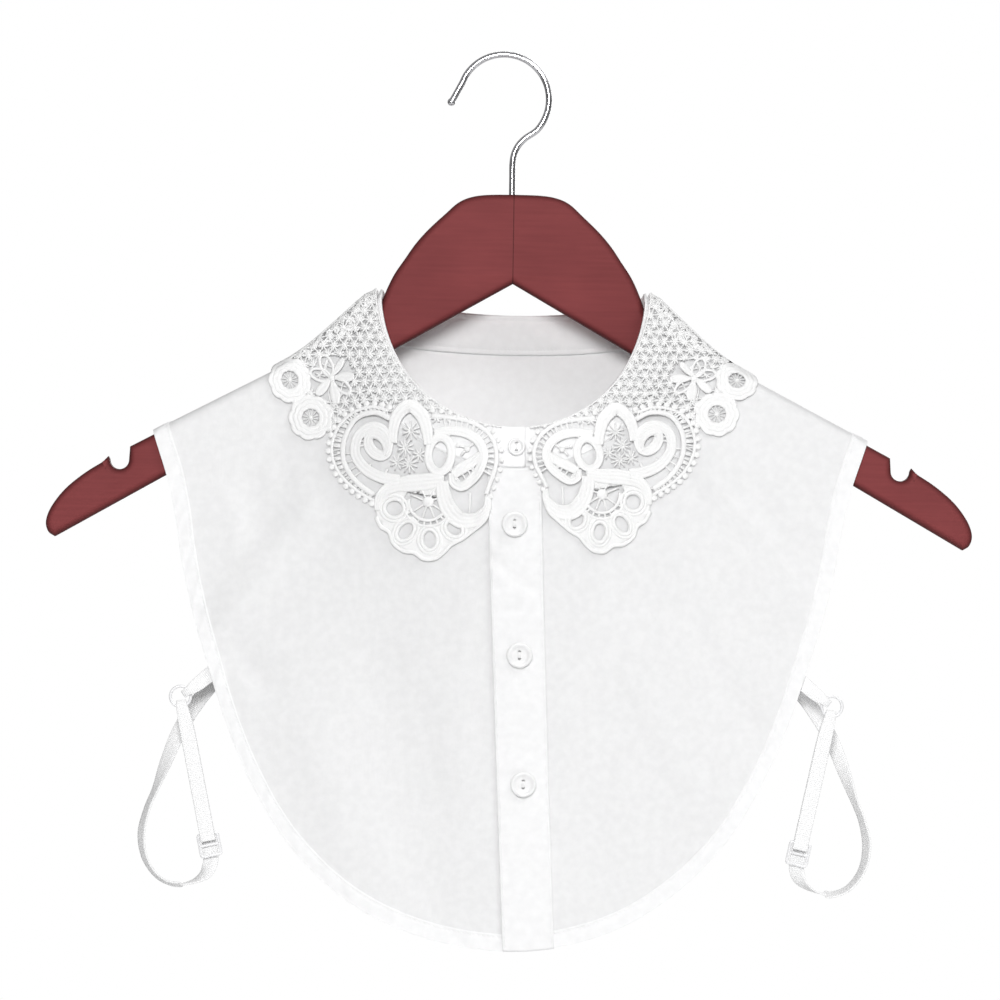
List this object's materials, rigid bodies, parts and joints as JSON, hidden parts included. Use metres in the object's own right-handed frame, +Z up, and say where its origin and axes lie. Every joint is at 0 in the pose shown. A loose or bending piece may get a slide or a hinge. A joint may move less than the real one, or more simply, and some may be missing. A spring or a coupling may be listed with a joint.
{
  "type": "lace-trimmed detachable collar on hanger",
  "caption": "Buttoned cotton bib collar with a stand and a cutwork lace leaf, elastic side loops, hung flat on a wooden hanger with a thin metal hook.",
  "frame": {"origin": "inside top of the hanger's hook, where a rail carries it", "axes": "+Z up, front toward -Y, +X to the viewer's right across the hanger"},
  "size_m": [0.446, 0.0802, 0.4322],
  "materials": {
    "cotton": "matte plain-woven white cotton",
    "lace": "matte white corded lace",
    "button": "soft gloss, white",
    "elastic": "ribbed white elastic webbing",
    "strap_fitting": "white coated, gloss",
    "wood": "dark cherry stain under satin varnish",
    "hook": "polished"
  },
  "bodies": {
    "root": {"back_panel": "cotton", "front_viewer_left": "cotton", "front_viewer_right": "cotton", "placket": "cotton", "collar_stand": "cotton", "lace_leaf_left": "lace", "lace_leaf_right": "lace", "lace_leaf_back": "lace", "button_stand": "button", "button_top": "button", "button_middle": "button", "button_bottom": "button", "strap_tab_left": "elastic", "strap_tab_right": "elastic", "strap_loop_left": "elastic", "strap_loop_right": "elastic", "strap_ring_left": "strap_fitting", "strap_ring_right": "strap_fitting", "strap_slider_left": "strap_fitting", "strap_slider_right": "strap_fitting", "hanger_board": "wood", "hanger_hook": "hook"}
  },
  "joints": []
}
